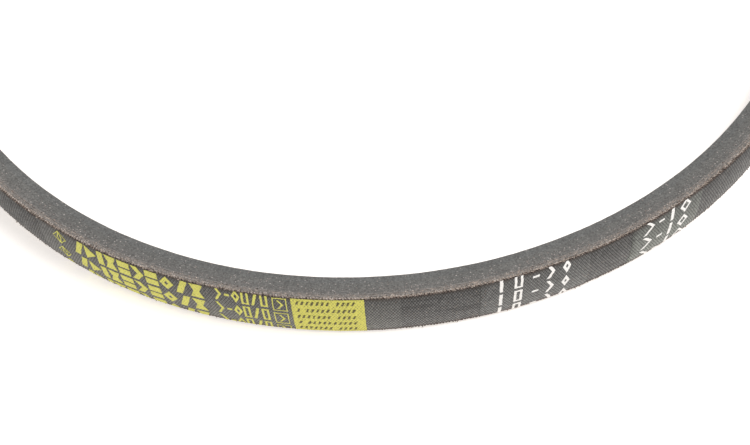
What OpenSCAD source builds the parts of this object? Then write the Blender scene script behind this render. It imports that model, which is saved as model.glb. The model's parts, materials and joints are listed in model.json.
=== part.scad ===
// Raw-edge laminated V-belt: a closed loop lying flat, back outwards, base inwards.
// The origin is the centre of the loop, at the middle of the belt's width, and +Z is the loop's axis.
// Lengths are in millimetres. "Along" is measured round the back from the -Y side of the loop,
// positive towards +X, and "across" is measured along Z from the middle of the back.

/* [Loop] */
// Length round the outside of the loop, on the crown of the back
outside_length = 990.6; // [800:0.1:2000]
// Width across the back, from corner to corner
top_width = 16.7; // [16.2:0.1:17.2]
// Depth of the flanks, from the corner of the back to the base
flank_depth = 9.5; // [9:0.1:11]
// Angle between the two flanks, in degrees
flank_angle = 40; // [36:1:42]
// Height of the middle of the back above its corners
crown = 0.6; // [0.3:0.05:0.7]

/* [Layers] */
// Thickness of one ply of back fabric
back_ply = 0.55; // [0.4:0.05:0.6]
// Depth of the middle of the tensile cord below the crown
cord_depth = 2.35; // [2.3:0.05:2.6]
// Diameter of the tensile cord
cord_d = 1; // [0.8:0.05:1.1]
// Distance from one turn of the cord to the next
cord_pitch = 1.46; // [1.4:0.01:1.46]
// Turns of the cord across the belt
cord_turns = 11; // [9:2:11]
// Depth of the lower face of the cushion rubber below the crown
cushion_depth = 3.3; // [3.2:0.05:3.6]
// Thickness of the base fabric ply
base_ply = 0.6; // [0.4:0.05:0.8]

/* [Print] */
// Thickness of a label's carrier film
film = 0.03; // [0.02:0.01:0.06]
// Thickness of the ink
ink = 0.05; // [0.03:0.01:0.08]
// Distance from one row of marks to the next, across the back
row_pitch = 7.1; // [7:0.1:7.6]
// Height of a printed mark, across the back
mark_h = 5.9; // [5:0.1:6.3]
// Bottom of the highest row of bold and boxed marks, across the back
yellow_base = 2.1; // [1:0.1:3]
// Bottom of the highest row of light marks, across the back
light_base = 3.3; // [2:0.1:4]
// Bottom of the highest row of white marks, across the back
white_base = 3.2; // [2:0.1:4]

/* [Places along the back] */
// Start of the main label film
main_label_from = -110; // [-115:0.5:-106]
// End of the main label film
main_label_to = 1.5; // [0:0.5:5]
// Start of the emblem
emblem_from = -104.5; // [-105.5:0.5:-103]
// Start of the bold marks
bold_from = -96.5; // [-97:0.5:-95]
// Start of the light marks
light_from = -50.8; // [-51:0.1:-50]
// Start of the boxed mark
boxed_from = -34.1; // [-34.4:0.1:-33.8]
// Start of the yellow panel
panel_from = -28.8; // [-29.5:0.1:-28]
// End of the yellow panel
panel_to = -8.6; // [-9:0.1:-7.5]
// Start of the size label film
size_label_from = 23.5; // [22:0.5:26]
// End of the size label film
size_label_to = 56; // [54:0.5:58]
// Start of the white size marks
size_from = 28.5; // [28:0.5:30]
// Start of the batch label film
batch_label_from = 70; // [68:0.5:71]
// End of the batch label film
batch_label_to = 96; // [94:0.5:98]
// Start of the white batch marks
batch_from = 74; // [73:0.5:75]

/* [Hidden] */
$fn = 96;

// Radii of the loop at the crown, the corners and the base
crown_r = outside_length / (2 * PI);
corner_r = crown_r - crown;
base_r = corner_r - flank_depth;
// Radius of the arc that domes the back across its width
dome_r = (pow(top_width / 2, 2) + crown * crown) / (2 * crown);
// The three compression sheets share the depth between the cushion and the base fabric
cord_r = crown_r - cord_depth;
cushion_r = crown_r - cushion_depth;
sheet = (cushion_r - base_r - base_ply) / 3;
// How far the section's outline stands clear of the back, so that arcs alone shape it
over = 1;
// How deep a mark's prism reaches below the back before the skin trims it
prism = 3;
rows = 3;
loop_fn = 240;

function half_width(r) = top_width / 2 - (corner_r - r) * tan(flank_angle / 2);

// ---- The section, drawn with the radius along X and the width along Y ----

// Everything between the two flanks, from one radius to another
module between_flanks(r_in, r_out) {
    polygon([
        [r_in, -half_width(r_in)],
        [r_out, -half_width(r_out)],
        [r_out, half_width(r_out)],
        [r_in, half_width(r_in)],
    ]);
}

// The belt's section from a radius out to a domed face, a given depth below the back
module domed(r_in, depth) {
    intersection() {
        between_flanks(r_in, crown_r + over);
        translate([crown_r - dome_r, 0]) circle(r = dome_r - depth);
    }
}

// A layer that follows the dome, from one depth below the back to a greater one
module domed_layer(top, bottom) {
    difference() {
        domed(crown_r - dome_r / 4, top);
        translate([crown_r - dome_r, 0]) circle(r = dome_r - bottom);
    }
}

module cord_sections() {
    for (i = [0:cord_turns - 1])
        translate([cord_r, (i - (cord_turns - 1) / 2) * cord_pitch]) circle(d = cord_d);
}

module loop() {
    rotate_extrude($fn = loop_fn) children();
}

// ---- The laminated body, from the back to the base ----

module back_fabric_outer_ply() {
    color("#74746f") loop() domed_layer(0, back_ply);
}

module back_fabric_inner_ply() {
    color("#5a4236") loop() domed_layer(back_ply, 2 * back_ply);
}

module upper_cushion_rubber() {
    color("#4c4a49") loop() difference() {
        domed(cord_r, 2 * back_ply);
        cord_sections();
    }
}

module tensile_cord() {
    color("#c9b49c") loop() intersection() {
        cord_sections();
        between_flanks(cushion_r, crown_r);
    }
}

module lower_cushion_rubber() {
    color("#555351") loop() difference() {
        between_flanks(cushion_r, cord_r);
        cord_sections();
    }
}

// One calendered sheet of fibre-filled rubber, counted from the cushion inwards
module compression_sheet(index) {
    loop() between_flanks(cushion_r - (index + 1) * sheet, cushion_r - index * sheet);
}

module compression_sheet_outer() {
    color("#70706e") compression_sheet(0);
}

module compression_sheet_middle() {
    color("#6c6c6a") compression_sheet(1);
}

module compression_sheet_inner() {
    color("#686866") compression_sheet(2);
}

module base_fabric_ply() {
    color("#5d5c58") loop() between_flanks(base_r, base_r + base_ply);
}

// ---- Films and print on the back ----

function angle_at(along) = along / crown_r * 180 / PI;

// A thin skin on the back, trimmed by the flanks: its underside stands "level" proud of the fabric
module skin(from, to, level, thickness) {
    rotate([0, 0, angle_at(from) - 90])
        rotate_extrude(angle = angle_at(to - from), $fn = loop_fn) domed_layer(-level - thickness, -level);
}

// Stands a flat shape up on the back, facing outwards, as a prism that the skin trims
module on_back(along, across) {
    rotate([0, 0, angle_at(along) - 90])
        translate([crown_r - prism, 0, across])
            rotate([90, 0, 90]) linear_extrude(prism + over) children();
}

module diamond(w, h) {
    polygon([[0, h / 2], [w / 2, 0], [w, h / 2], [w / 2, h]]);
}

// The plain shapes that the print is made of, in a cell of width w and height h, with stroke t
module motif(kind, w, h, t) {
    if (kind == "bar")
        square([t, h]);
    if (kind == "dash")
        translate([0, 0.43 * h]) square([w, 0.14 * h]);
    if (kind == "slash")
        polygon([[0, 0], [t, 0], [w, h], [w - t, h]]);
    if (kind == "wedge")
        polygon([[0, 0], [w, h / 2], [0, h]]);
    if (kind == "chevron")
        polygon([[0, 0], [t, 0], [w, h / 2], [t, h], [0, h], [w - t, h / 2]]);
    if (kind == "waist")
        polygon([[0, 0], [w, 0], [0.72 * w, h / 2], [w, h], [0, h], [0.28 * w, h / 2]]);
    if (kind == "bricks")
        for (y = [0, 0.56 * h])
            translate([0, y]) square([w, 0.44 * h]);
    if (kind == "lozenge") {
        hole = max(1 - 1.8 * t / w, 0.3);
        difference() {
            diamond(w, h);
            translate([(1 - hole) * w / 2, (1 - hole) * h / 2]) diamond(hole * w, hole * h);
        }
    }
    if (kind == "frame") {
        rim = min(t, 0.3 * w);
        difference() {
            square([w, h]);
            translate([rim, rim]) square([w - 2 * rim, h - 2 * rim]);
        }
    }
}

// One line of motifs repeated in rows across the back. Each entry is [kind, start, width].
module print_rows(line, along, base, h, t) {
    for (row = [0:rows - 1])
        for (entry = line)
            on_back(along + entry[1], base - row * row_pitch) motif(entry[0], entry[2], h, t);
}

module main_label_film() {
    color("#858783") skin(main_label_from, main_label_to, 0, film);
}

module size_label_film() {
    color("#7b7f7b") skin(size_label_from, size_label_to, 0, film);
}

module batch_label_film() {
    color("#80847f") skin(batch_label_from, batch_label_to, 0, film);
}

bold_line = [
    ["slash", 0, 3.9],
    ["wedge", 4.3, 3.8],
    ["bar", 8.6, 2],
    ["waist", 11.1, 4],
    ["bricks", 15.6, 4],
    ["chevron", 20.1, 4],
    ["bricks", 24.6, 4],
    ["lozenge", 29.1, 4.4],
    ["slash", 34, 3.9],
    ["waist", 38.5, 4],
];
bold_end = 42.6;

module bold_marks() {
    color("#d3cb5e") intersection() {
        skin(bold_from, bold_from + bold_end, film, ink);
        print_rows(bold_line, bold_from, yellow_base, mark_h, 2);
    }
}

module emblem() {
    color("#c9c46a") intersection() {
        skin(emblem_from, emblem_from + 5.5, film, ink);
        print_rows([["lozenge", 0, 5], ["lozenge", 1.6, 1.8]], emblem_from, yellow_base, mark_h, 0.4);
    }
}

light_line = [
    ["chevron", 0, 2.2],
    ["dash", 3.1, 1.4],
    ["lozenge", 5.1, 2.4],
    ["frame", 7.9, 2.1],
    ["slash", 10.6, 2.1],
    ["frame", 13.3, 2.1],
];

module light_marks() {
    color("#cfc868") intersection() {
        skin(light_from, light_from + 15.5, film, ink);
        print_rows(light_line, light_from, light_base, mark_h, 0.8);
    }
}

module boxed_mark() {
    color("#cfc868") intersection() {
        skin(boxed_from, boxed_from + 4.2, film, ink);
        union() {
            print_rows([["frame", 0, 4.1]], boxed_from, yellow_base, mark_h, 0.3);
            print_rows([["chevron", 1.2, 1.9]], boxed_from, yellow_base + 1, mark_h - 2, 0.6);
        }
    }
}

module yellow_panel() {
    color("#d8d068") skin(panel_from, panel_to, film, ink);
}

// Small slanted ticks in close rows, in two alternating lines of groups. A group is [start, ticks].
tick_pitch = 1.4;
tick_w = 1.1;
tick_t = 0.6;
tick_h = 1.5;
tick_rows = 5;
tick_row_pitch = 3.3;
tick_top = 5.9;
tick_lines = [[[1.2, 7], [12.4, 4]], [[1.4, 1], [3.9, 5], [11.1, 5]]];

module panel_marks() {
    color("#5b5632") intersection() {
        skin(panel_from, panel_to, film + ink, ink);
        for (row = [0:tick_rows - 1])
            for (group = tick_lines[row % 2])
                for (i = [0:group[1] - 1])
                    on_back(panel_from + group[0] + i * tick_pitch, tick_top - row * tick_row_pitch)
                        motif("slash", tick_w, tick_h, tick_t);
    }
}

size_line = [
    ["bar", 0.4, 1],
    ["frame", 4.7, 2.5],
    ["dash", 10, 2],
    ["chevron", 14.2, 2.5],
    ["lozenge", 19, 2.6],
];

module size_marks() {
    color("#ebe8e5") intersection() {
        skin(size_from, size_from + 21.7, film, ink);
        print_rows(size_line, size_from, white_base, mark_h, 1);
    }
}

batch_line = [
    ["chevron", 0, 3.8],
    ["dash", 5.4, 1.9],
    ["bar", 9.8, 1.1],
    ["lozenge", 13.2, 4.3],
];

module batch_marks() {
    color("#ebe8e5") intersection() {
        skin(batch_from, batch_from + 17.6, film, ink);
        print_rows(batch_line, batch_from, white_base, mark_h, 1.1);
    }
}

back_fabric_outer_ply();
back_fabric_inner_ply();
upper_cushion_rubber();
tensile_cord();
lower_cushion_rubber();
compression_sheet_outer();
compression_sheet_middle();
compression_sheet_inner();
base_fabric_ply();
main_label_film();
size_label_film();
batch_label_film();
bold_marks();
emblem();
light_marks();
boxed_mark();
yellow_panel();
panel_marks();
size_marks();
batch_marks();
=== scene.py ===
"""A raw-edge V-belt's looks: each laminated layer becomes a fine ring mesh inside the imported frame."""

import json
import math

import bmesh
import bpy
import numpy as np
from mathutils import Matrix, Vector


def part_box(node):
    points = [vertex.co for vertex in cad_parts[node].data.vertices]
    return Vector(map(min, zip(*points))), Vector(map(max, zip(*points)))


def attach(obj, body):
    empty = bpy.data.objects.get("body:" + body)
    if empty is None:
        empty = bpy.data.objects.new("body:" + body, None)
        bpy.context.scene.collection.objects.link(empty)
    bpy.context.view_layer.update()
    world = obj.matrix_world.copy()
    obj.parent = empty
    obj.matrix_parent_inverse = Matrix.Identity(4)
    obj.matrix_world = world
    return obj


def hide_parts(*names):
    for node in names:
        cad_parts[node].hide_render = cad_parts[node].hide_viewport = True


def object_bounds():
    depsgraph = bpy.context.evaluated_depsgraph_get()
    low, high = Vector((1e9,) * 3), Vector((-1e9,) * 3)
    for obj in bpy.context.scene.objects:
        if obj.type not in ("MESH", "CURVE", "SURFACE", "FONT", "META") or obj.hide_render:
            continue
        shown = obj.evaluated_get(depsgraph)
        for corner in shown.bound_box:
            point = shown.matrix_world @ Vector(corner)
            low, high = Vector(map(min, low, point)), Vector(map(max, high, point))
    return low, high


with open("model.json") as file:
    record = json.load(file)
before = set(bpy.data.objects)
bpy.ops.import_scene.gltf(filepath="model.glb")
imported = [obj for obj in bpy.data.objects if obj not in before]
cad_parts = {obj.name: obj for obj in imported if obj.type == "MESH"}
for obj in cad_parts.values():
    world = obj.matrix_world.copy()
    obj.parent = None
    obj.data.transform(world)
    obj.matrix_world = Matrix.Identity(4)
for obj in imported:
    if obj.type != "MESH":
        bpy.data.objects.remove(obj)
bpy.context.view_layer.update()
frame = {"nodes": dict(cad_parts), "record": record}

MM = 0.001
TURN = 2 * math.pi


# ---- Sizes, in millimetres, read from the frame ----


def node_high(node):
    """How far a CAD node reaches along +X and +Z from the loop's centre."""
    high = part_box(node)[1]
    return high.x / MM, high.z / MM


MOUNTS = {mount["name"]: mount for mount in frame["record"]["mounts"]}
BASE_R = MOUNTS["loop_inside"]["dims"]["r_mm"]
BASE_HALF = MOUNTS["loop_inside"]["dims"]["length_mm"] / 2
CROWN_R, CORNER_HALF = node_high("back_fabric_outer_ply")
FLANK_OUT = MOUNTS["upper_flank"]["axis"]
FLANK_TAN = FLANK_OUT[1] / FLANK_OUT[2]
FLANK_NORMAL = np.array([-FLANK_OUT[1], FLANK_OUT[2]])
CORNER_R = BASE_R + (CORNER_HALF - BASE_HALF) / FLANK_TAN
CROWN = CROWN_R - CORNER_R
DOME_R = (CORNER_HALF**2 + CROWN**2) / (2 * CROWN)
LOOP_LENGTH = TURN * CROWN_R

INNER_PLY_R = node_high("back_fabric_inner_ply")[0]
CUSHION_TOP_R = node_high("upper_cushion_rubber")[0]
CORD_R = node_high("lower_cushion_rubber")[0]
SHEETS = ["compression_sheet_outer", "compression_sheet_middle", "compression_sheet_inner"]
SHEET_R = [node_high(node)[0] for node in SHEETS]
BASE_PLY_R = node_high("base_fabric_ply")[0]

# The cord, as the part's source has it, since the frame's boxes don't show it
CORD_RADIUS = 0.5
CORD_PITCH = 1.46
CORD_TURNS = 11

# The weave on the back: a wide-angle fabric, with a whole number of waves round the loop
YARN_PITCH = 0.76
YARN_ANGLE = math.radians(60)
WEAVE_WAVES = round(LOOP_LENGTH * math.sin(YARN_ANGLE) / YARN_PITCH)
WEAVE_STEP = LOOP_LENGTH / WEAVE_WAVES
WEAVE_ACROSS = WEAVE_STEP * math.tan(YARN_ANGLE)
FINE_STEP = WEAVE_STEP / 2

# Columns round the loop: fine where the weave is carried, plain elsewhere
FINE_COLUMNS = 2 * WEAVE_WAVES
PLAIN_COLUMNS = 1440


def half_width(r):
    """Half the belt's width at a radius."""
    return CORNER_HALF - (CORNER_R - r) * FLANK_TAN


def dome(z, depth=0.0):
    """Radius of the domed back at a place across the belt, or of a face parallel to it."""
    return CROWN_R - DOME_R + np.sqrt((DOME_R - depth) ** 2 - z**2)


def place(phi, r, z):
    """Points of the frame from an angle round the loop, a radius and a height. Angle 0 is at -Y."""
    return np.stack([r * np.sin(phi), -r * np.cos(phi), z + 0 * r * phi], -1) * MM


# ---- Surface relief. Every pattern closes on itself round the loop ----


class Grain:
    """Smooth random bumps from -1 to 1, with a cell size along the loop and across it."""

    def __init__(self, along, across, seed):
        self.count = round(LOOP_LENGTH / along)
        self.across = across
        self.table = np.random.default_rng(seed).uniform(-1, 1, (self.count, 97))

    def __call__(self, phi, cross):
        u = (phi / TURN) % 1 * self.count
        v = cross / self.across
        i, j = np.floor(u).astype(int), np.floor(v).astype(int)
        a, b = u - i, v - j
        a, b = a * a * (3 - 2 * a), b * b * (3 - 2 * b)
        rows, cols = self.table.shape
        pick = lambda di, dj: self.table[(i + di) % rows, (j + dj) % cols]
        low = pick(0, 0) * (1 - a) + pick(1, 0) * a
        high = pick(0, 1) * (1 - a) + pick(1, 1) * a
        return low * (1 - b) + high * b


back_swell = Grain(9, 6, 1)
back_lump = Grain(1.4, 1.1, 2)
cut_yarn = Grain(0.45, 0.28, 3)
cut_swell = Grain(2.5, 0.8, 4)
flank_swell = Grain(7, 4, 5)
flank_grit = Grain(0.8, 0.7, 6)
print_wander = Grain(0.5, 0.5, 7)
print_wander_across = Grain(0.5, 0.5, 8)


def weave(phi, z):
    """Height of the plain weave, from 0 in the gaps to 1 on the crests."""
    along = phi / TURN * WEAVE_WAVES * math.pi
    across = z / WEAVE_ACROSS * math.pi
    warp, weft = np.sin(along + across), np.sin(along - across)
    over = np.abs(warp) ** 0.5 * np.abs(weft)
    under = np.abs(warp) * np.abs(weft) ** 0.5
    return np.where(warp * weft > 0, over, under)


# Heights of the relief, in millimetres. The lip is a strip along each corner of the back
BACK_WEAVE, BACK_DROP, RIPPLE = 0.09, 0.04, 0.02
LIP, LIP_TEETH, LIP_FRAY = 0.5, 0.22, 0.1
FILM_WEAVE, FILM_SWELL = 0.05, 0.015
CUT_YARN, CUT_SWELL, CUT_DROP = 0.13, 0.06, 0.05
FLANK_SWELL, FLANK_GRIT = 0.03, 0.012
BASE_BUMPS, BASE_DROP = 0.03, 0.03


def back_relief(phi, r, z):
    """The rubber-filled weave of the back, just under the nominal dome, with a frayed lip at each corner."""
    ripple = RIPPLE * back_lump(phi, z) + RIPPLE * back_swell(phi, z)
    lip = np.clip((np.abs(z) - CORNER_HALF + LIP) / LIP, 0, 1)
    teeth = LIP_TEETH * (weave(phi, z) - 0.5) + LIP_FRAY * cut_yarn(phi, r)
    return BACK_WEAVE * (weave(phi, z) - 1) - BACK_DROP + ripple + lip * teeth


def film_relief(phi, r, z):
    """A label film only half follows the weave under it."""
    return FILM_WEAVE * (weave(phi, z) - 1) + FILM_SWELL * back_swell(phi, z)


def cut_relief(phi, r, z):
    """The fuzzy cut edge of a fabric ply on the flank."""
    return CUT_YARN * cut_yarn(phi, r) + CUT_SWELL * cut_swell(phi, r) - CUT_DROP


def flank_relief(phi, r, z):
    """The ground rubber of the flank."""
    return FLANK_SWELL * flank_swell(phi, r) + FLANK_GRIT * flank_grit(phi, r)


def base_relief(phi, r, z):
    """The smooth inside of the loop, rippled by the fabric under the rubber."""
    return BASE_BUMPS * back_lump(phi, z) + BASE_BUMPS * back_swell(phi, z) - BASE_DROP


# ---- Ring meshes ----


def mesh_object(name, verts, faces):
    """A smooth-shaded object from an array of points and an array of equal-sided faces."""
    sides = faces.shape[1]
    mesh = bpy.data.meshes.new(name)
    mesh.vertices.add(len(verts))
    mesh.vertices.foreach_set("co", verts.astype(np.float32).ravel())
    mesh.loops.add(faces.size)
    mesh.loops.foreach_set("vertex_index", faces.astype(np.int32).ravel())
    mesh.polygons.add(len(faces))
    mesh.polygons.foreach_set("loop_start", np.arange(0, faces.size, sides, dtype=np.int32))
    mesh.polygons.foreach_set("use_smooth", np.ones(len(faces), bool))
    mesh.update(calc_edges=True)
    mesh.validate()
    piece = bpy.data.objects.new(name, mesh)
    bpy.context.scene.collection.objects.link(piece)
    return piece


def set_uv(piece, uv):
    """The map that a texture bake uses, one pair of numbers for each face corner."""
    layer = piece.data.uv_layers.new(name="OFBake")
    layer.data.foreach_set("uv", uv.astype(np.float32).ravel())


def set_tint(piece, tint):
    """A number from 0 to 1 on each point, which materials read to vary their colour."""
    attribute = piece.data.attributes.new("tint", "FLOAT", "POINT")
    attribute.data.foreach_set("value", tint.astype(np.float32))


class Side:
    """One side of a section: its points (radius, across), its relief along its normal, and its material."""

    def __init__(self, points, relief=None, normal=(0, 0), paint=0):
        self.points = np.array(points, float)
        self.relief = relief
        self.normal = np.array(normal, float)
        self.paint = paint


def line(start, end, step, curve=None):
    """Evenly spaced points from start to end. A curve gives the radius from the place across."""
    count = max(1, round(math.dist(start, end) / step))
    t = np.linspace(0, 1, count + 1)[:, None]
    points = np.array(start) * (1 - t) + np.array(end) * t
    if curve:
        points[:, 0] = curve(points[:, 1])
    return points


SHARP_ANGLE = math.radians(50)
# Steps between a section's points, in millimetres
PLY_EDGE_STEP = 0.22
CUSHION_EDGE_STEP = 0.25
SHEET_EDGE_STEP = 0.3
BASE_EDGE_STEP = 0.2
HIDDEN_STEP = 9.0
# How much a hidden side is squeezed in the texture map, and the gap between two strips of it
HIDDEN_UV = 0.15
UV_MARGIN = 0.03


def ring(name, sides, columns):
    """Sweeps a closed section round the loop and lifts each visible side by its relief."""
    outline = np.concatenate([side.points[:-1] for side in sides])
    count = len(outline)
    phi = np.arange(columns) / columns * TURN
    r = np.repeat(outline[:, :1], columns, 1)
    z = np.repeat(outline[:, 1:], columns, 1)
    first, paint = 0, np.zeros(count, np.int32)
    lift = np.zeros((2, count, columns))
    for side in sides:
        index = (first + np.arange(len(side.points))) % count
        first += len(side.points) - 1
        paint[index[:-1]] = side.paint
        if side.relief:
            height = side.relief(phi[None, :], side.points[:, :1], side.points[:, 1:])
            lift[:, index] += height * side.normal[:, None, None]
    verts = place(phi[None, :], r + lift[0], z + lift[1]).reshape(-1, 3)
    k, j = np.meshgrid(np.arange(count), np.arange(columns), indexing="ij")
    k2, j2 = (k + 1) % count, (j + 1) % columns
    faces = np.stack([k * columns + j, k * columns + j2, k2 * columns + j2, k2 * columns + j], -1)
    piece = mesh_object(name, verts, faces.reshape(-1, 4))
    piece.data.polygons.foreach_set("material_index", np.repeat(paint, columns))
    piece.data.set_sharp_from_angle(angle=SHARP_ANGLE)
    set_uv(piece, ring_uv(sides, columns, k, j))
    return piece


def ring_uv(sides, columns, k, j):
    """Cuts the ring into strips and stacks them in a square, with the hidden sides squeezed."""
    steps = []
    for side in sides:
        gaps = np.linalg.norm(np.diff(side.points, axis=0), axis=1)
        steps.append(gaps if side.relief else gaps * HIDDEN_UV)
    edges = np.concatenate([[0], np.cumsum(np.concatenate(steps))])
    strips = max(1, round(math.sqrt(LOOP_LENGTH / edges[-1])))
    per_strip = math.ceil(columns / strips)
    strip, column = j // per_strip, j % per_strip
    room = 1 - 2 * UV_MARGIN
    low = (strip + UV_MARGIN + room * edges[k] / edges[-1]) / strips
    high = (strip + UV_MARGIN + room * edges[k + 1] / edges[-1]) / strips
    left, right = column / per_strip, (column + 1) / per_strip
    return np.stack([left, low, right, low, right, high, left, high], -1)


def flanks(upper_points, relief, paint=0):
    """The upper flank going in, and its mirror image, the lower flank coming out."""
    upper = Side(upper_points, relief, FLANK_NORMAL, paint)
    lower = Side((upper_points * (1, -1))[::-1], relief, FLANK_NORMAL * (1, -1), paint)
    return upper, lower


def flank_line(r_out, r_in, step):
    """Points down the upper flank between two radii."""
    return line((r_out, half_width(r_out)), (r_in, half_width(r_in)), step)


SEARCH_DEPTH = 4
HALVINGS = 40


def domed_corner(depth):
    """Where a face parallel to the dome meets the upper flank: its radius and height."""
    low, high = CORNER_R - SEARCH_DEPTH, CROWN_R
    for _ in range(HALVINGS):
        r = (low + high) / 2
        if dome(half_width(r), depth) > r:
            low = r
        else:
            high = r
    return r, half_width(r)


def domed_ply(name, depths, columns, steps, back_side_relief):
    """A fabric ply between two faces that follow the dome. Its cut edges take the second material."""
    top, bottom = (domed_corner(depth) for depth in depths)
    upper, lower = flanks(line(top, bottom, steps["edge"]), cut_relief, 1)
    mirror = lambda corner: (corner[0], -corner[1])
    under = Side(line(bottom, mirror(bottom), HIDDEN_STEP, lambda z: dome(z, depths[1])))
    back = line(mirror(top), top, steps["back"], lambda z: dome(z, depths[0]))
    return ring(name, [upper, under, lower, Side(back, back_side_relief, (1, 0))], columns)


def plain_sheet(name, r_out, r_in, columns, steps, edge_relief, inside_relief=None, edge_paint=0):
    """A ring between two flat faces. An inside relief shows on the face towards the loop's centre."""
    upper, lower = flanks(flank_line(r_out, r_in, steps["edge"]), edge_relief, edge_paint)
    inner = line((r_in, half_width(r_in)), (r_in, -half_width(r_in)), steps["inside"])
    outer = line((r_out, -half_width(r_out)), (r_out, half_width(r_out)), HIDDEN_STEP)
    return ring(name, [upper, Side(inner, inside_relief, (-1, 0)), lower, Side(outer)], columns)


# ---- The cord, and the rubber that is grooved round it ----

OUTER_TURN = (CORD_TURNS - 1) / 2 * CORD_PITCH
CUT_SAMPLES = 400
GROOVE_POINTS = 9
# How far a groove's points keep clear of the flank
GROOVE_MARGIN = 0.03


def cord_cut():
    """The highest and lowest radius at which the flank slices the outermost turn."""
    angle = np.linspace(-math.pi / 2, math.pi / 2, CUT_SAMPLES)
    r = CORD_R + CORD_RADIUS * np.sin(angle)
    outside = OUTER_TURN + CORD_RADIUS * np.cos(angle) > half_width(r)
    return r[outside].max(), r[outside].min()


def grooves(bulge):
    """Points along the cord's plane from the upper flank to the lower, round one half of each turn."""
    points = []
    for turn in range(CORD_TURNS):
        angle = np.linspace(0, math.pi, GROOVE_POINTS)
        across = OUTER_TURN - turn * CORD_PITCH + CORD_RADIUS * np.cos(angle)
        radii = CORD_R + bulge * CORD_RADIUS * np.sin(angle)
        points += [(r, z) for r, z in zip(radii, across) if abs(z) < half_width(r) - GROOVE_MARGIN]
    return points


def cushions():
    """The rubber above and below the cord."""
    cut_high, cut_low = cord_cut()
    top = domed_corner(CROWN_R - CUSHION_TOP_R)
    upper, lower = flanks(line(top, (cut_high, half_width(cut_high)), CUSHION_EDGE_STEP), flank_relief)
    groove = Side([upper.points[-1], *grooves(1), lower.points[0]])
    back = line(lower.points[-1], upper.points[0], HIDDEN_STEP, lambda z: dome(z, CROWN_R - CUSHION_TOP_R))
    above = ring("upper_cushion_rubber_cut", [upper, groove, lower, Side(back)], PLAIN_COLUMNS)
    upper, lower = flanks(flank_line(cut_low, SHEET_R[0], CUSHION_EDGE_STEP), flank_relief)
    inner = line(upper.points[-1], lower.points[0], HIDDEN_STEP)
    groove = Side([lower.points[-1], *grooves(-1)[::-1], upper.points[0]])
    below = ring("lower_cushion_rubber_cut", [upper, Side(inner), lower, groove], PLAIN_COLUMNS)
    return above, below


CORD_COLUMNS = 1200
CORD_SIDES = 12
TWISTS = 110
STRANDS = 3
# A strand's reach as a share of the cord's radius: in the grooves between strands, and its rise over them
STRAND_LOW, STRAND_RISE = 0.78, 0.2
# How far the sliced turns stand proud of the flank
SLICE_PROUD = 0.01


def cord():
    """Closed turns of three-strand cord, with the outermost turns sliced flat by the flanks."""
    phi = np.arange(CORD_COLUMNS) / CORD_COLUMNS * TURN
    angle = np.arange(CORD_SIDES) / CORD_SIDES * TURN
    lobe = np.abs(np.cos(STRANDS / 2 * (angle[:, None] - TWISTS * phi[None, :])))
    reach = CORD_RADIUS * (STRAND_LOW + STRAND_RISE * lobe)
    verts, faces, uvs = [], [], []
    k, j = np.meshgrid(np.arange(CORD_SIDES), np.arange(CORD_COLUMNS), indexing="ij")
    k2, j2 = (k + 1) % CORD_SIDES, (j + 1) % CORD_COLUMNS
    quad = np.stack([a * CORD_COLUMNS + b for a, b in ((k, j), (k, j2), (k2, j2), (k2, j))], -1)
    for turn in range(CORD_TURNS):
        r = CORD_R + reach * np.sin(angle)[:, None]
        z = OUTER_TURN - turn * CORD_PITCH + reach * np.cos(angle)[:, None]
        limit = half_width(r) + SLICE_PROUD
        verts.append(place(phi[None, :], r, np.clip(z, -limit, limit)).reshape(-1, 3))
        faces.append(quad.reshape(-1, 4) + turn * CORD_COLUMNS * CORD_SIDES)
        v, v2 = (turn + k / CORD_SIDES) / CORD_TURNS, (turn + (k + 1) / CORD_SIDES) / CORD_TURNS
        u, u2 = j / CORD_COLUMNS, (j + 1) / CORD_COLUMNS
        uvs.append(np.stack([u, v, u2, v, u2, v2, u, v2], -1).reshape(-1))
    piece = mesh_object("tensile_cord_twisted", np.concatenate(verts), np.concatenate(faces))
    set_uv(piece, np.concatenate(uvs))
    return piece


# ---- Label films and print, cut fine enough to follow the weave ----


# Distances in metres within which two points are one, and within which a cut passes through a point
WELD = 1e-6
CUT_SNAP = 1e-7


def conform(node):
    """A copy of a thin CAD node on the back, cut into small cells and laid over the weave."""
    low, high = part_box(node)
    build = bmesh.new()
    build.from_mesh(frame["nodes"][node].data)
    bmesh.ops.remove_doubles(build, verts=build.verts, dist=WELD)
    ends = [math.atan2(x, -high.y) * CROWN_R for x in (low.x, high.x)]
    for cell in range(math.ceil(ends[0] / FINE_STEP), math.ceil(ends[1] / FINE_STEP)):
        angle = cell * FINE_STEP / CROWN_R
        slice_mesh(build, (0, 0, 0), (math.cos(angle), math.sin(angle), 0))
    for cell in range(math.ceil(low.z / MM / FINE_STEP), math.ceil(high.z / MM / FINE_STEP)):
        slice_mesh(build, (0, 0, cell * FINE_STEP * MM), (0, 0, 1))
    mesh = bpy.data.meshes.new(node + "_laid")
    build.to_mesh(mesh)
    build.free()
    points = np.empty(len(mesh.vertices) * 3, np.float32)
    mesh.vertices.foreach_get("co", points)
    x, y, z = points.astype(float).reshape(-1, 3).T / MM
    phi, r = np.arctan2(x, -y), np.hypot(x, y)
    r = r + film_relief(phi, r, z)
    phi, z = ragged(phi, z)
    mesh.vertices.foreach_set("co", place(phi, r, z).astype(np.float32).ravel())
    mesh.polygons.foreach_set("use_smooth", np.ones(len(mesh.polygons), bool))
    mesh.set_sharp_from_angle(angle=SHARP_ANGLE)
    piece = bpy.data.objects.new(mesh.name, mesh)
    bpy.context.scene.collection.objects.link(piece)
    return piece


def slice_mesh(build, point, normal):
    """Cuts a mesh's faces along a plane, and keeps both halves."""
    geometry = build.verts[:] + build.edges[:] + build.faces[:]
    bmesh.ops.bisect_plane(build, geom=geometry, dist=CUT_SNAP, plane_co=point, plane_no=normal)


RAGGED = 0.1


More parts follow.
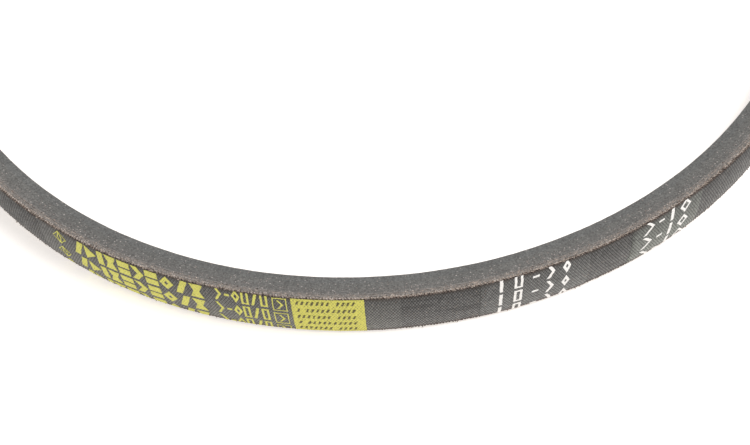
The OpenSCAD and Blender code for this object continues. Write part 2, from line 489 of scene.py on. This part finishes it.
def ragged(phi, z):
    """Shifts points along and across by a little, so that printed edges waver like ink on cloth."""
    away = np.clip((CORNER_HALF - np.abs(z)) / RAGGED, 0, 1)
    along = RAGGED * print_wander(phi, z)
    across = RAGGED * print_wander_across(phi, z) * away
    return phi + along / CROWN_R, z + across


# ---- Yarn ends and fibre ends along the cut ----

LOOSE_FIBRES = 2600
CORD_FIBRES = 5200
RUBBER_FIBRES = 5600
# How far a bristle's root is buried
YARN_ROOT = 0.06
FIBRE_ROOT = 0.04
BRISTLE_TAPER = 0.55
# Sizes and the ranges they are drawn from, in millimetres
YARN_RADIUS = (0.09, 0.2)
YARN_SHORTEST = 0.12
LOOSE_RADIUS = 0.035
LOOSE_LENGTH = (0.2, 0.55)
LOOSE_DEPTH = (CROWN + 0.02, CROWN + 0.9)
CORD_FIBRE_LENGTH, CORD_FIBRE_RADIUS = (0.08, 0.2), (0.06, 0.16)
RUBBER_FIBRE_LENGTH, RUBBER_FIBRE_RADIUS = (0.06, 0.11), (0.05, 0.15)
# The cord's fuzz starts this far above its band and thins out over this depth, at the most
FUZZ_START, FUZZ_REACH = 0.45, 3.2
# The compression rubber's fibres keep this far from its top and its base
FIBRE_MARGIN = 0.4


def tufts(name, base, along, length, radius, tint, levels=3, bend=0.3):
    """Many short bent bristles in one mesh, each a closed four-sided taper from its own base point."""
    count, sides = len(base), 4
    along = along / np.linalg.norm(along, axis=1, keepdims=True)
    helper = np.where(np.abs(along[:, 2:]) < 0.8, [[0, 0, 1.0]], [[1.0, 0, 0]])
    across = np.cross(along, helper)
    across /= np.linalg.norm(across, axis=1, keepdims=True)
    other = np.cross(along, across)
    t = np.linspace(0, 1, levels)[None, :, None, None]
    angle = np.arange(sides)[:, None] / sides * TURN
    spread = across[:, None, None] * np.cos(angle) + other[:, None, None] * np.sin(angle)
    taper = radius[:, None, None, None] * (1 - BRISTLE_TAPER * t**2)
    spine = base[:, None, None] + along[:, None, None] * length[:, None, None, None] * t
    spine = spine + across[:, None, None] * bend * length[:, None, None, None] * t**2
    verts = (spine + spread * taper).reshape(-1, 3) * MM
    rings = np.arange(levels * sides).reshape(levels, sides)
    turned = np.roll(rings, -1, 1)
    walls = np.stack([rings[:-1], turned[:-1], turned[1:], rings[1:]], -1).reshape(-1, 4)
    one = np.concatenate([walls, [rings[0, ::-1], rings[-1]]])
    faces = one[None] + (np.arange(count) * levels * sides)[:, None, None]
    piece = mesh_object(name, verts, faces.reshape(-1, 4))
    set_tint(piece, np.repeat(tint, levels * sides))
    grid = math.ceil(math.sqrt(count))
    cell = np.stack([np.arange(count) % grid, np.arange(count) // grid], -1)
    corner = np.array([[0.2, 0.2], [0.8, 0.2], [0.8, 0.8], [0.2, 0.8]])
    uv = np.repeat((cell[:, None, None] + corner) / grid, len(one), 1)
    set_uv(piece, uv)
    return piece


def on_flank(phi, depth, flank):
    """Points on a flank (1 upper, -1 lower), and the directions out of it, away from the centre and along."""
    r = CROWN_R - depth
    away = np.stack([np.sin(phi), -np.cos(phi), 0 * phi], -1)
    along = np.stack([np.cos(phi), np.sin(phi), 0 * phi], -1)
    up = np.array([0, 0, flank])
    out = FLANK_NORMAL[0] * away + FLANK_NORMAL[1] * up
    return away * r[:, None] + up * half_width(r)[:, None], out, away, along


def ply_depth(depth):
    """How far below the crown a domed face meets the flank."""
    return CROWN_R - domed_corner(depth)[0]


FLANK_NAMES = {1: "upper", -1: "lower"}


def yarn_ends(flank, rng):
    """Cut yarns of both back plies, which bristle from the flank just under the corner."""
    faces = [ply_depth(CROWN_R - r) for r in (CROWN_R, INNER_PLY_R, CUSHION_TOP_R)]
    count = 2 * WEAVE_WAVES
    phi, depth, radius, tint, outward = [], [], [], [], []
    for top, bottom in zip(faces, faces[1:]):
        step = TURN / count
        phi.append((np.arange(count) + rng.uniform(0, 0.5, count)) * step)
        depth.append(rng.uniform(top + 0.1, bottom - 0.05, count))
        outermost = top == faces[0]
        radius.append(rng.uniform(*YARN_RADIUS, count))
        tint.append(rng.beta(1.0, 2.1, count) if outermost else rng.beta(1.6, 0.9, count))
        outward.append(rng.uniform(0.0, 1.5, count) if outermost else rng.uniform(-0.2, 0.3, count))
    phi, depth, radius, tint, outward = map(np.concatenate, (phi, depth, radius, tint, outward))
    base, out, away, along = on_flank(phi, depth, flank)
    sway = rng.uniform(-0.6, 0.6, len(phi))
    direction = out + away * outward[:, None] + along * sway[:, None]
    length = rng.gamma(2.0, 0.09, len(phi)) + YARN_SHORTEST
    name = f"yarn_ends_{FLANK_NAMES[flank]}_corner"
    return tufts(name, base - out * YARN_ROOT, direction, length, radius, tint)


def loose_fibres(flank, rng):
    """Fine frayed fibres that lie along the corner and over the edge of the back."""
    count = LOOSE_FIBRES
    phi = rng.uniform(0, TURN, count)
    depth = rng.uniform(*LOOSE_DEPTH, count)
    base, out, away, along = on_flank(phi, depth, flank)
    sway = rng.normal(0, 1.0, count)
    direction = out * 0.8 + away * rng.uniform(0, 0.9, count)[:, None] + along * sway[:, None]
    length = rng.uniform(*LOOSE_LENGTH, count)
    name = f"loose_fibres_{FLANK_NAMES[flank]}_corner"
    radius = np.full(count, LOOSE_RADIUS)
    tint = rng.beta(1.2, 2.6, count)
    return tufts(name, base - out * FIBRE_ROOT, direction, length, radius, tint, bend=0.6)


def cord_fuzz(flank, rng):
    """Tan fibre ends in the band where the cord and its cushion rubber were cut through."""
    count = CORD_FIBRES
    band = ply_depth(CROWN_R - CUSHION_TOP_R)
    phi = rng.uniform(0, TURN, count)
    below = rng.gamma(1.1, 0.75, count)
    depth = band - FUZZ_START + np.minimum(below, FUZZ_REACH)
    base, out, away, along = on_flank(phi, depth, flank)
    direction = out + away * rng.normal(0, 0.4, count)[:, None] + along * rng.normal(0, 0.5, count)[:, None]
    name = f"cord_fuzz_{FLANK_NAMES[flank]}_flank"
    length = rng.uniform(*CORD_FIBRE_LENGTH, count)
    radius = rng.uniform(*CORD_FIBRE_RADIUS, count)
    tint = rng.uniform(0.2, 1, count) * np.clip(1.1 - 0.3 * below, 0.3, 1)
    return tufts(name, base - out * FIBRE_ROOT, direction, length, radius, tint)


def fibre_ends(flank, rng):
    """Ends of the short fibres in the compression rubber, sheared off level with the flank."""
    count = RUBBER_FIBRES
    start = ply_depth(CROWN_R - CUSHION_TOP_R) + FIBRE_MARGIN
    span = CROWN_R - BASE_R - start - FIBRE_MARGIN
    phi = rng.uniform(0, TURN, count)
    depth = start + span * np.minimum(rng.beta(0.9, 2.4, count), 0.98)
    base, out, away, along = on_flank(phi, depth, flank)
    direction = out + along * rng.normal(0, 0.5, count)[:, None]
    name = f"fibre_ends_{FLANK_NAMES[flank]}_flank"
    length = rng.uniform(*RUBBER_FIBRE_LENGTH, count)
    radius = rng.uniform(*RUBBER_FIBRE_RADIUS, count)
    tint = rng.uniform(0, 1, count)
    return tufts(name, base - out * FIBRE_ROOT, direction, length, radius, tint, levels=2)


# ---- Materials ----


def rgb(*screen):
    """A linear colour from 0-255 screen values."""
    parts = [part / 255 for part in screen]
    linear = [c / 12.92 if c <= 0.04045 else ((c + 0.055) / 1.055) ** 2.4 for c in parts]
    return (*linear, 1)


# The back's brightness at its lower and upper corner, a painted shade that darkens it towards the top, and
# the colour of the bare yarn along both corners
BACK_SHADE_LOW, BACK_SHADE_HIGH = 1.08, 0.47
FRAY_BROWN = rgb(72, 56, 47)
# Fibre colours that several materials share
DEEP_TAN, PALE_TAN = rgb(128, 106, 92), rgb(226, 212, 200)


class Paint:
    """A material's node graph, written as short calls that return sockets. Lengths are in millimetres."""

    def __init__(self, name, cross):
        self.material = bpy.data.materials.new(name)
        self.material.use_nodes = True
        self.tree = self.material.node_tree
        self.tree.nodes.clear()
        point = self.node("TexCoord", out="Object")
        point = self.node("VectorMath", {0: point, "Scale": 1 / MM}, operation="SCALE")
        x, y, self.z = (self.node("SeparateXYZ", {0: point}, i) for i in range(3))
        flat = self.node("CombineXYZ", {0: x, 1: y})
        radius = self.node("VectorMath", {0: flat}, "Value", operation="LENGTH")
        self.depth = self.math("SUBTRACT", CROWN_R, radius)
        around = self.node("VectorMath", {0: flat}, operation="NORMALIZE")
        self.around = self.node("VectorMath", {0: around, "Scale": CROWN_R}, operation="SCALE")
        self.phi = self.math("ARCTAN2", x, self.math("MULTIPLY", y, -1))
        self.cross = self.z if cross == "z" else self.depth
        self.height = 0.0

    def node(self, kind, inputs=None, out=0, **settings):
        """Adds a node, links or sets its inputs, and returns one of its outputs."""
        made = self.tree.nodes.new("ShaderNode" + kind)
        for key, value in settings.items():
            setattr(made, key, value)
        for key, value in (inputs or {}).items():
            if isinstance(value, bpy.types.NodeSocket):
                self.tree.links.new(value, made.inputs[key])
            else:
                made.inputs[key].default_value = value
        return made.outputs[out] if made.outputs else made

    def math(self, operation, *values):
        """A sum, product or function of sockets and numbers."""
        return self.node("Math", dict(enumerate(values)), operation=operation)

    def mix(self, factor, a, b, blend="MIX"):
        """One colour laid over another, by a factor."""
        return self.node("Mix", {0: factor, 6: a, 7: b}, 2, data_type="RGBA", blend_type=blend)

    def ramp(self, value, low, high, start=0.0, end=1.0):
        """Maps a value from low-high to start-end, smoothly and no further."""
        inputs = {0: value, 1: low, 2: high, 3: start, 4: end}
        return self.node("MapRange", inputs, interpolation_type="SMOOTHSTEP")

    def grid(self, along, across, shift=0.0):
        """Coordinates that count cells of a size round the loop and across it, with no seam."""
        scaled = self.node("VectorMath", {0: self.around, "Scale": 1 / along}, operation="SCALE")
        x, y = (self.node("SeparateXYZ", {0: scaled}, i) for i in range(2))
        third = self.math("MULTIPLY_ADD", self.cross, 1 / across, shift)
        return self.node("CombineXYZ", {0: x, 1: y, 2: third})

    def noise(self, along, across, detail=2.0, shift=0.0):
        """Smooth noise from 0 to 1, mostly near the middle, with a size round the loop and across it."""
        inputs = {"Vector": self.grid(along, across, shift), "Scale": 1.0, "Detail": detail}
        return self.node("TexNoise", inputs)

    def cells(self, along, across, shift=0.0):
        """Distance from the middle of a random cell, and a random number for each cell."""
        made = self.node("TexVoronoi", {"Vector": self.grid(along, across, shift), "Scale": 1.0})
        colour = made.node.outputs["Color"]
        return made, self.node("SeparateColor", {0: colour}), self.node("SeparateColor", {0: colour}, 1)

    def shade(self, colour, value, low, high, span=(0.3, 0.7)):
        """Scales a colour's brightness from low to high, over a span that suits a noise unless given."""
        level = self.node("MapRange", {0: value, 1: span[0], 2: span[1], 3: low, 4: high})
        grey = self.node("CombineXYZ", {0: level, 1: level, 2: level})
        return self.mix(1.0, colour, grey, "MULTIPLY")

    def specks(self, colour, size, share, tones, shift=0.0, reach=(0.25, 0.42)):
        """Small round specks in a random share of the cells, each toned between the two colours."""
        distance, chance, tone = self.cells(size, size, shift)
        near = self.ramp(distance, reach[1], reach[0])
        chosen = self.math("LESS_THAN", chance, share)
        return self.mix(self.math("MULTIPLY", near, chosen), colour, self.mix(tone, *tones))

    def painted_shade_up(self, colour):
        """Paints shade on the back: darker towards its upper corner, where less of the floor's light reaches.
        """
        return self.shade(colour, self.z, BACK_SHADE_LOW, BACK_SHADE_HIGH, (-CORNER_HALF, CORNER_HALF))

    def fray(self, colour):
        """Browns the back along its corners, where bare yarn shows."""
        away = self.math("SUBTRACT", CORNER_HALF, self.math("ABSOLUTE", self.z))
        reach = self.math("MULTIPLY_ADD", self.noise(0.5, 0.6, shift=7.0), 1.6, away)
        return self.mix(self.ramp(reach, 2.4, 0.8, 0.0, 0.8), colour, FRAY_BROWN)

    def weave(self):
        """The same weave as the mesh carries, from 0 in the gaps to 1 on the crests."""
        along = self.math("MULTIPLY", self.phi, WEAVE_WAVES / 2)
        across = self.math("MULTIPLY", self.z, math.pi / WEAVE_ACROSS)
        warp = self.math("SINE", self.math("ADD", along, across))
        weft = self.math("SINE", self.math("SUBTRACT", along, across))
        high, low = self.math("ABSOLUTE", warp), self.math("ABSOLUTE", weft)
        over = self.math("MULTIPLY", self.math("SQRT", high), low)
        under = self.math("MULTIPLY", high, self.math("SQRT", low))
        same = self.math("GREATER_THAN", self.math("MULTIPLY", warp, weft), 0.0)
        return self.node("Mix", {0: same, 2: under, 3: over})

    def bump(self, height, drop):
        """Adds relief: the height's 0-1 range stands for a drop in millimetres."""
        self.height = self.math("MULTIPLY_ADD", height, drop, self.height)

    def finish(self, colour, roughness, specular=0.35, sheen=0.0):
        """Joins the colour, the roughness and the relief in one Principled shader."""
        normal = self.node("Bump", {"Height": self.height, "Distance": MM, "Strength": 1.0})
        inputs = {"Base Color": colour, "Roughness": roughness, "Normal": normal}
        inputs |= {"Specular IOR Level": specular, "Sheen Weight": sheen}
        shader = self.node("BsdfPrincipled", inputs)
        self.node("OutputMaterial", {"Surface": shader})
        return self.material


def back_rubber():
    """The back: a weave under worn grey rubber, with darker smears along the belt, brown corners and painted
    shade towards its upper corner.
    """
    paint = Paint("back_rubber", "z")
    weave = paint.weave()
    patch = paint.noise(2.6, 2.0)
    thread = paint.math("MULTIPLY_ADD", patch, 0.3, paint.math("SUBTRACT", weave, 0.15))
    colour = paint.mix(paint.ramp(thread, 0.1, 0.75), rgb(52, 50, 49), rgb(134, 133, 131))
    colour = paint.specks(colour, 0.6, 0.1, (rgb(84, 66, 54), rgb(170, 160, 148)), 3.0)
    colour = paint.shade(colour, paint.noise(0.8, 0.9, shift=9.0), 0.64, 1.36)
    colour = paint.shade(colour, paint.noise(16, 6, shift=5.0), 0.9, 1.1)
    streak = paint.ramp(paint.noise(13, 0.8), 0.52, 0.66)
    smear = paint.math("MULTIPLY", streak, paint.ramp(paint.noise(40, 9), 0.45, 0.6))
    colour = paint.mix(paint.math("MULTIPLY", smear, 0.5), colour, rgb(62, 60, 59))
    colour = paint.fray(colour)
    paint.bump(weave, 0.06)
    paint.bump(paint.noise(0.35, 0.35, shift=2.0), 0.04)
    # Painted shade: the back darkens towards its upper corner.
    return paint.finish(paint.painted_shade_up(colour), paint.ramp(patch, 0.3, 0.7, 0.62, 0.85), sheen=0.05)


# How fast the teeth of a ply's cut edge lean along the belt with depth
TOOTH_SLANT = 3.0


def cut_fabric(name, dark, mid, share):
    """A ply's cut edge: slanting dark rubber teeth between a share of tan yarn ends."""
    paint = Paint(name, "depth")
    distance, chance, tone = paint.cells(0.6, 0.45)
    turns = paint.math("MULTIPLY", paint.phi, WEAVE_WAVES)
    wave = paint.math("MULTIPLY_ADD", paint.depth, TOOTH_SLANT, turns)
    tooth = paint.math("MULTIPLY_ADD", paint.noise(0.8, 0.5), 3.0, paint.math("SINE", wave))
    colour = paint.mix(paint.ramp(tooth, 0.9, 2.1), rgb(*dark), rgb(*mid))
    end = paint.math("MULTIPLY", paint.ramp(distance, 0.6, 0.35), paint.math("LESS_THAN", chance, share))
    colour = paint.mix(end, colour, paint.mix(tone, DEEP_TAN, PALE_TAN))
    colour = paint.shade(colour, paint.noise(5, 1.2, shift=4.0), 0.85, 1.15)
    paint.bump(distance, -0.08)
    return paint.finish(colour, 0.88, 0.2, 0.15)


def cushion():
    """Adhesion rubber with tan flecks of cord fibre smeared through its cut face."""
    paint = Paint("cushion_rubber", "depth")
    colour = paint.mix(paint.ramp(paint.noise(0.7, 0.5), 0.3, 0.7), rgb(114, 109, 105), rgb(148, 143, 139))
    fade = paint.ramp(paint.depth, 1.5, 3.4, 0.55, 0.14)
    colour = paint.specks(colour, 0.5, fade, (rgb(158, 132, 118), PALE_TAN), reach=(0.2, 0.5))
    colour = paint.specks(colour, 0.6, 0.16, (rgb(66, 54, 48), rgb(96, 84, 76)), 7.0)
    paint.bump(paint.noise(0.3, 0.3), 0.05)
    return paint.finish(colour, 0.8, 0.3, 0.08)


def flank_rubber(name, tone, share, edge_highlight=False):
    """Ground fibre-filled rubber. The share is how many fibre ends show, and a painted highlight pales a thin
    strip along the base edge.
    """
    paint = Paint(name, "depth")
    grain = paint.noise(0.6, 0.5, shift=1.0)
    colour = paint.shade(rgb(*tone), grain, 0.66, 1.34)
    colour = paint.shade(colour, paint.noise(0.9, 12), 0.9, 1.1)
    colour = paint.shade(colour, paint.noise(20, 5, shift=6.0), 0.94, 1.06)
    colour = paint.specks(colour, 0.6, share, (rgb(142, 124, 116), rgb(214, 206, 200)), 2.0, (0.15, 0.42))
    colour = paint.specks(colour, 0.6, 0.16, (rgb(74, 68, 64), rgb(96, 92, 89)), 8.0, (0.15, 0.45))
    # Painted highlight: a pale strip along the base edge.
    if edge_highlight:
        edge = CROWN_R - BASE_R
        colour = paint.mix(paint.ramp(paint.depth, edge - 0.25, edge, 0.0, 0.5), colour, rgb(146, 148, 144))
    paint.bump(grain, 0.035)
    paint.bump(paint.noise(0.9, 8), 0.02)
    return paint.finish(colour, paint.ramp(grain, 0.3, 0.7, 0.6, 0.78), 0.35, 0.06)


def base_fabric():
    """The plain-woven ply on the inside of the loop, soaked with dark rubber."""
    paint = Paint("base_fabric", "z")
    weave = paint.weave()
    colour = paint.mix(paint.ramp(weave, 0.1, 0.9), rgb(60, 59, 57), rgb(108, 106, 102))
    colour = paint.shade(colour, paint.noise(9, 4), 0.85, 1.15)
    colour = paint.specks(colour, 0.6, 0.08, (rgb(140, 130, 118), rgb(176, 168, 158)), 5.0)
    paint.bump(weave, 0.07)
    return paint.finish(colour, 0.8, 0.25, 0.1)


def yarn(name, dark, light):
    """Bristles from dark to light, by each one's tint."""
    paint = Paint(name, "depth")
    tint = paint.node("Attribute", out="Fac", attribute_name="tint")
    colour = paint.mix(tint, rgb(*dark), rgb(*light))
    colour = paint.shade(colour, paint.noise(0.12, 0.12), 0.8, 1.2)
    paint.bump(paint.noise(0.1, 0.1, shift=3.0), 0.02)
    return paint.finish(colour, 0.85, 0.25, 0.2)


def cord_fibre():
    """Tan polyester cord with darker rubber in the grooves between its strands."""
    paint = Paint("cord_fibre", "depth")
    strand = paint.ramp(paint.noise(0.5, 0.2), 0.3, 0.7)
    colour = paint.mix(strand, rgb(150, 130, 116), rgb(212, 196, 182))
    smear = paint.ramp(paint.noise(0.9, 0.6, shift=4.0), 0.28, 0.5)
    colour = paint.mix(paint.math("MULTIPLY", smear, 0.9), colour, rgb(122, 117, 113))
    paint.bump(paint.noise(0.3, 0.08), 0.04)
    return paint.finish(colour, 0.7, 0.4, 0.2)


def label_film(name, tone):
    """A thin smooth film pressed on the weave, which shows through it, with painted shade towards the upper
    corner.
    """
    paint = Paint(name, "z")
    weave = paint.weave()
    dim = rgb(*(0.5 * part for part in tone))
    lit = rgb(*(1.19 * part for part in tone))
    colour = paint.mix(paint.ramp(weave, 0.05, 0.75), dim, lit)
    colour = paint.shade(colour, paint.noise(0.8, 0.9), 0.58, 1.42)
    colour = paint.shade(colour, paint.noise(11, 3, shift=3.0), 0.92, 1.08)
    colour = paint.specks(colour, 0.8, 0.06, (rgb(96, 78, 66), rgb(158, 150, 140)), 6.0)
    colour = paint.fray(colour)
    paint.bump(weave, 0.04)
    paint.bump(paint.noise(0.5, 0.5), 0.02)
    # Painted shade: the film darkens towards the upper corner, like the back.
    return paint.finish(paint.painted_shade_up(colour), paint.ramp(weave, 0.0, 1.0, 0.62, 0.5), 0.45)


def ink(name, tone, worn, gaps):
    """Ink that stands on the crests of the weave. Gaps is how much of it the weave breaks through."""
    paint = Paint(name, "z")
    weave = paint.weave()
    patch = paint.noise(0.7, 0.6, shift=2.0)
    cover = paint.math("MULTIPLY_ADD", patch, 1.0, weave)
    colour = paint.shade(rgb(*tone), paint.noise(0.5, 0.45), 0.88, 1.1)
    colour = paint.mix(paint.ramp(cover, gaps + 0.3, gaps), colour, rgb(*worn))
    paint.bump(weave, 0.04)
    paint.bump(patch, 0.02)
    return paint.finish(colour, 0.6, 0.4)


# ---- The belt, put together from the back to the base ----


def add(piece, slot_name, *materials, node=None):
    """Gives a piece its materials and its body, and hides the CAD node that it stands for. The slot name is
    not used.
    """
    for material in materials:
        piece.data.materials.append(material)
    if node:
        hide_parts(node)
    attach(piece, "root")


# Each compression sheet's colour, and the share of cells in which a fibre end shows
SHEET_LOOKS = [((114, 112, 109), 0.26), ((113, 112, 109), 0.13), ((111, 111, 109), 0.07)]
FILM_TONES = {
    "main_label_film": (112, 111, 108),
    "size_label_film": (112, 112, 110),
    "batch_label_film": (122, 125, 119),
}


def build_layers():
    """Every layer of the laminated body, each in place of its CAD node."""
    outer_cut = cut_fabric("cut_fabric_outer", (46, 37, 32), (128, 109, 99), 0.38)
    inner_cut = cut_fabric("cut_fabric_inner", (132, 119, 110), (212, 203, 195), 0.6)
    fine = {"edge": PLY_EDGE_STEP, "back": FINE_STEP}
    depths = (0, CROWN_R - INNER_PLY_R)
    outer = domed_ply("back_fabric_outer_ply_woven", depths, FINE_COLUMNS, fine, back_relief)
    add(outer, "back_fabric", back_rubber(), outer_cut, node="back_fabric_outer_ply")
    plain = {"edge": PLY_EDGE_STEP, "back": HIDDEN_STEP}
    depths = (CROWN_R - INNER_PLY_R, CROWN_R - CUSHION_TOP_R)
    inner = domed_ply("back_fabric_inner_ply_woven", depths, FINE_COLUMNS, plain, None)
    add(inner, "inner_fabric", inner_cut, inner_cut, node="back_fabric_inner_ply")
    rubber = cushion()
    for piece, node in zip(cushions(), ("upper_cushion_rubber", "lower_cushion_rubber")):
        add(piece, "cushion_rubber", rubber, node=node)
    add(cord(), "cord", cord_fibre(), node="tensile_cord")
    faces = [*SHEET_R, BASE_PLY_R]
    steps = {"edge": SHEET_EDGE_STEP, "inside": HIDDEN_STEP}
    for node, r_out, r_in, look in zip(SHEETS, faces, faces[1:], SHEET_LOOKS):
        sheet = plain_sheet(node + "_ground", r_out, r_in, PLAIN_COLUMNS, steps, flank_relief)
        add(sheet, "compression_rubber", flank_rubber(node + "_rubber", *look), node=node)
    steps = {"edge": BASE_EDGE_STEP, "inside": FINE_STEP}
    base = plain_sheet(
        "base_fabric_ply_woven", BASE_PLY_R, BASE_R, FINE_COLUMNS, steps, flank_relief, base_relief, 1
    )
    # The last argument turns on the painted highlight along the base edge.
    edge = flank_rubber("base_edge_rubber", (112, 111, 109), 0.06, True)
    add(base, "base_fabric", base_fabric(), edge, node="base_fabric_ply")


def build_print():
    """The label films, and the marks printed on them."""
    for node, tone in FILM_TONES.items():
        add(conform(node), "label_film", label_film(node + "_look", tone), node=node)
    yellow = ink("yellow_ink", (224, 220, 106), (116, 112, 84), 0.36)
    panel = ink("panel_ink", (219, 214, 98), (124, 120, 78), 0.45)
    white = ink("white_ink", (255, 253, 250), (140, 138, 134), 0.22)
    dark = ink("dark_ink", (84, 78, 44), (150, 146, 84), 0.5)
    marks = {
        "bold_marks": yellow,
        "emblem": yellow,
        "light_marks": yellow,
        "boxed_mark": yellow,
        "yellow_panel": panel,
        "panel_marks": dark,
        "size_marks": white,
        "batch_marks": white,
    }
    slots = {yellow: "yellow_ink", panel: "yellow_ink", dark: "dark_ink", white: "white_ink"}
    for node, material in marks.items():
        add(conform(node), slots[material], material, node=node)


def build_fuzz():
    """Bristles and fibres on both flanks, all drawn from one seeded generator."""
    rng = np.random.default_rng(20)
    brown = yarn("yarn_brown", (50, 39, 35), (206, 190, 177))
    tan = yarn("fibre_tan", (138, 120, 110), (226, 216, 206))
    pale = yarn("fibre_pale", (142, 126, 118), (224, 218, 214))
    for flank in FLANK_NAMES:
        add(yarn_ends(flank, rng), "back_fabric", brown)
        add(loose_fibres(flank, rng), "back_fabric", brown)
        add(cord_fuzz(flank, rng), "cord", tan)
        add(fibre_ends(flank, rng), "compression_rubber", pale)


# ---- Floor, light and camera ----

# The floor lies a little below the belt, in millimetres, and reaches out by metres
FLOOR_GAP = 0.05
FLOOR_SIZE = 40
FLOOR_COLOUR = (0.86, 0.83, 0.81, 1)
FLOOR_GLOW = (1.0, 0.95, 0.9, 1)
FLOOR_GLOW_STRENGTH = 0.55
FLOOR_ROUGHNESS = 0.9
SKY_STRENGTH = 0.5
BACKDROP_COLOUR = (0.93, 0.89, 0.855, 1)
# The key light, in metres and watts
KEY_PLACE = (0.46, -0.2, 1.1)
KEY_SIZE = 0.4
KEY_POWER = 7.2


def build_stage():
    """A plain white floor, bright enough to lose nearly all of its shadows."""
    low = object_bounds()[0]
    signs = ((-1, -1), (1, -1), (1, 1), (-1, 1))
    corners = [(x * FLOOR_SIZE, y * FLOOR_SIZE, low.z - FLOOR_GAP * MM) for x, y in signs]
    floor = mesh_object("floor", np.array(corners), np.array([[0, 1, 2, 3]]))
    material = bpy.data.materials.new("floor_white")
    material.use_nodes = True
    shader = material.node_tree.nodes["Principled BSDF"]
    shader.inputs["Base Color"].default_value = FLOOR_COLOUR
    shader.inputs["Roughness"].default_value = FLOOR_ROUGHNESS
    shader.inputs["Emission Color"].default_value = FLOOR_GLOW
    shader.inputs["Emission Strength"].default_value = FLOOR_GLOW_STRENGTH
    floor.data.materials.append(material)


def area_light(name, position, size, power):
    """A square soft light aimed at the near side of the loop."""
    data = bpy.data.lights.new(name, "AREA")
    data.size = size
    data.energy = power
    light = bpy.data.objects.new(name, data)
    light.location = position
    aim = Vector((0, -CROWN_R * MM, 0)) - light.location
    light.rotation_euler = aim.to_track_quat("-Z", "Y").to_euler()
    bpy.context.scene.collection.objects.link(light)


def build_light():
    """An even white surround, a pale backdrop that only the camera sees, and one soft key light."""
    world = bpy.data.worlds.new("soft_white")
    world.use_nodes = True
    tree = world.node_tree
    background = tree.nodes["Background"]
    background.inputs["Color"].default_value = (1, 1, 1, 1)
    background.inputs["Strength"].default_value = SKY_STRENGTH
    backdrop = tree.nodes.new("ShaderNodeBackground")
    backdrop.inputs["Color"].default_value = BACKDROP_COLOUR
    seen = tree.nodes.new("ShaderNodeLightPath").outputs["Is Camera Ray"]
    choice = tree.nodes.new("ShaderNodeMixShader")
    for source, target in ((seen, 0), (background.outputs[0], 1), (backdrop.outputs[0], 2)):
        tree.links.new(source, choice.inputs[target])
    tree.links.new(choice.outputs[0], tree.nodes["World Output"].inputs["Surface"])
    scene = bpy.context.scene
    scene.world = world
    scene.view_settings.view_transform = "Standard"
    area_light("key", KEY_PLACE, KEY_SIZE, KEY_POWER)


# The camera looks down on the near side of the loop, at a target placed from the back's nearest corner.
# Lengths are in millimetres and angles in radians
CAMERA_LENS = 55.205
CAMERA_DISTANCE = 335.37
CAMERA_ELEVATION = 0.96494
CAMERA_ROLL = 0.08064
CAMERA_TARGET = Vector((-3.8625, 31.128 - CORNER_R, 0))


def build_camera():
    """The camera, tipped by its elevation and then rolled."""
    rise, lean = math.sin(CAMERA_ELEVATION), math.cos(CAMERA_ELEVATION)
    back = Vector((0, -lean, rise))
    right, up = Vector((1, 0, 0)), Vector((0, rise, lean))
    turn, tip = math.cos(CAMERA_ROLL), math.sin(CAMERA_ROLL)
    axes = Matrix((right * turn - up * tip, right * tip + up * turn, back)).transposed().to_4x4()
    data = bpy.data.cameras.new("camera")
    data.lens = CAMERA_LENS
    data.clip_start, data.clip_end = 0.01, 100
    camera = bpy.data.objects.new("camera", data)
    camera.matrix_world = Matrix.Translation((CAMERA_TARGET + back * CAMERA_DISTANCE) * MM) @ axes
    bpy.context.scene.collection.objects.link(camera)
    bpy.context.scene.camera = camera


build_layers()
build_print()
build_fuzz()
build_stage()
build_light()
build_camera()
